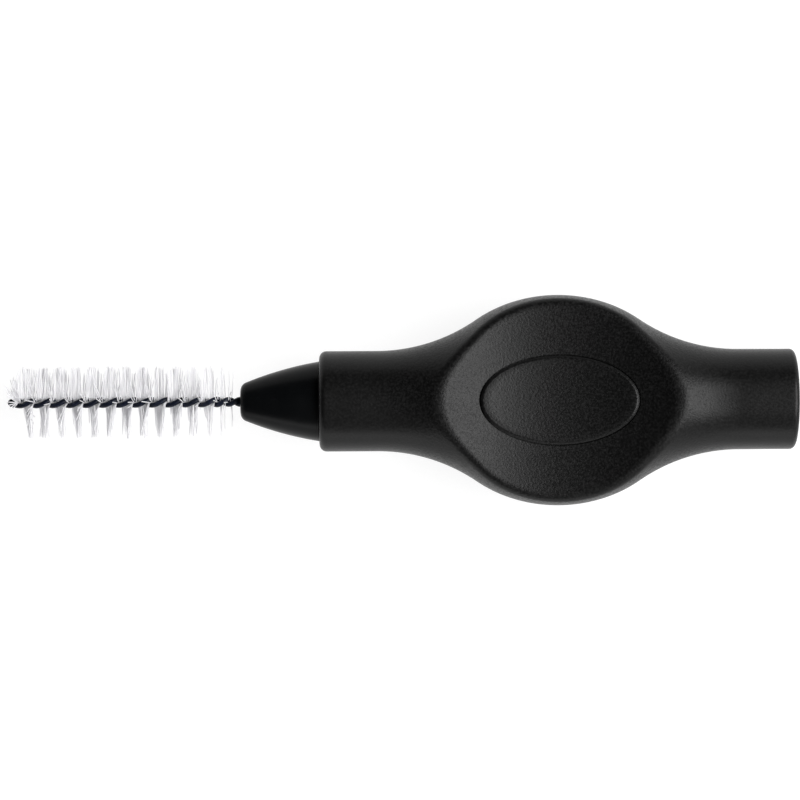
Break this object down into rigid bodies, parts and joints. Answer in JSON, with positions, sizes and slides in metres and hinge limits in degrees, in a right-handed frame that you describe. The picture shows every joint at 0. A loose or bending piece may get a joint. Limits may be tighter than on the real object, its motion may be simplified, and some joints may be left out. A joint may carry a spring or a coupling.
{
  "type": "interdental brush",
  "caption": "Small brush of fine filaments on a twisted coated wire, held by a hard nose in a soft bulb grip with finger dishes, for cleaning between teeth.",
  "frame": {"origin": "pinch point: the middle of the bulb grip, on the axis of the brush", "axes": "+X along the brush axis from the brush tip to the rear end of the grip, +Z out of the upper finger dish, +Y across the bulb"},
  "size_m": [0.0571, 0.0152, 0.0088],
  "materials": {
    "soft_grip": "matt soft-touch elastomer, fine spark-eroded grain",
    "hard_nose": "smooth injection-moulded black polypropylene",
    "steel_wire": "drawn stainless wire",
    "wire_coat": "thin smooth dark coat",
    "filament": "translucent white nylon filament"
  },
  "bodies": {
    "grip": {"grip_sleeve": "soft_grip"},
    "nose": {"nose_insert": "hard_nose", "core_wire_root": "steel_wire", "wire_coating_root": "wire_coat"},
    "brush_head": {"core_wire": "steel_wire", "wire_coating": "wire_coat", "bristle_tuft_01": "filament", "bristle_tuft_02": "filament", "bristle_tuft_03": "filament", "bristle_tuft_04": "filament", "bristle_tuft_05": "filament", "bristle_tuft_06": "filament", "bristle_tuft_07": "filament", "bristle_tuft_08": "filament", "bristle_tuft_09": "filament", "bristle_tuft_10": "filament", "bristle_tuft_11": "filament", "bristle_tuft_12": "filament"}
  },
  "joints": [
    {"name": "neck_flex", "type": "hinge", "parent": "grip", "child": "nose", "pos_m": [-0.0115, 0, 0], "axis": [0, 0, 1], "range_deg": [-25, 25], "stiffness_Nm_per_rad": 0.07, "deforming": ["grip_sleeve"]},
    {"name": "wire_bend", "type": "hinge", "parent": "nose", "child": "brush_head", "pos_m": [-0.02365, 0, 0], "axis": [0, 0, 1], "range_deg": [-45, 45], "deforming": ["core_wire_root", "wire_coating_root"]}
  ]
}
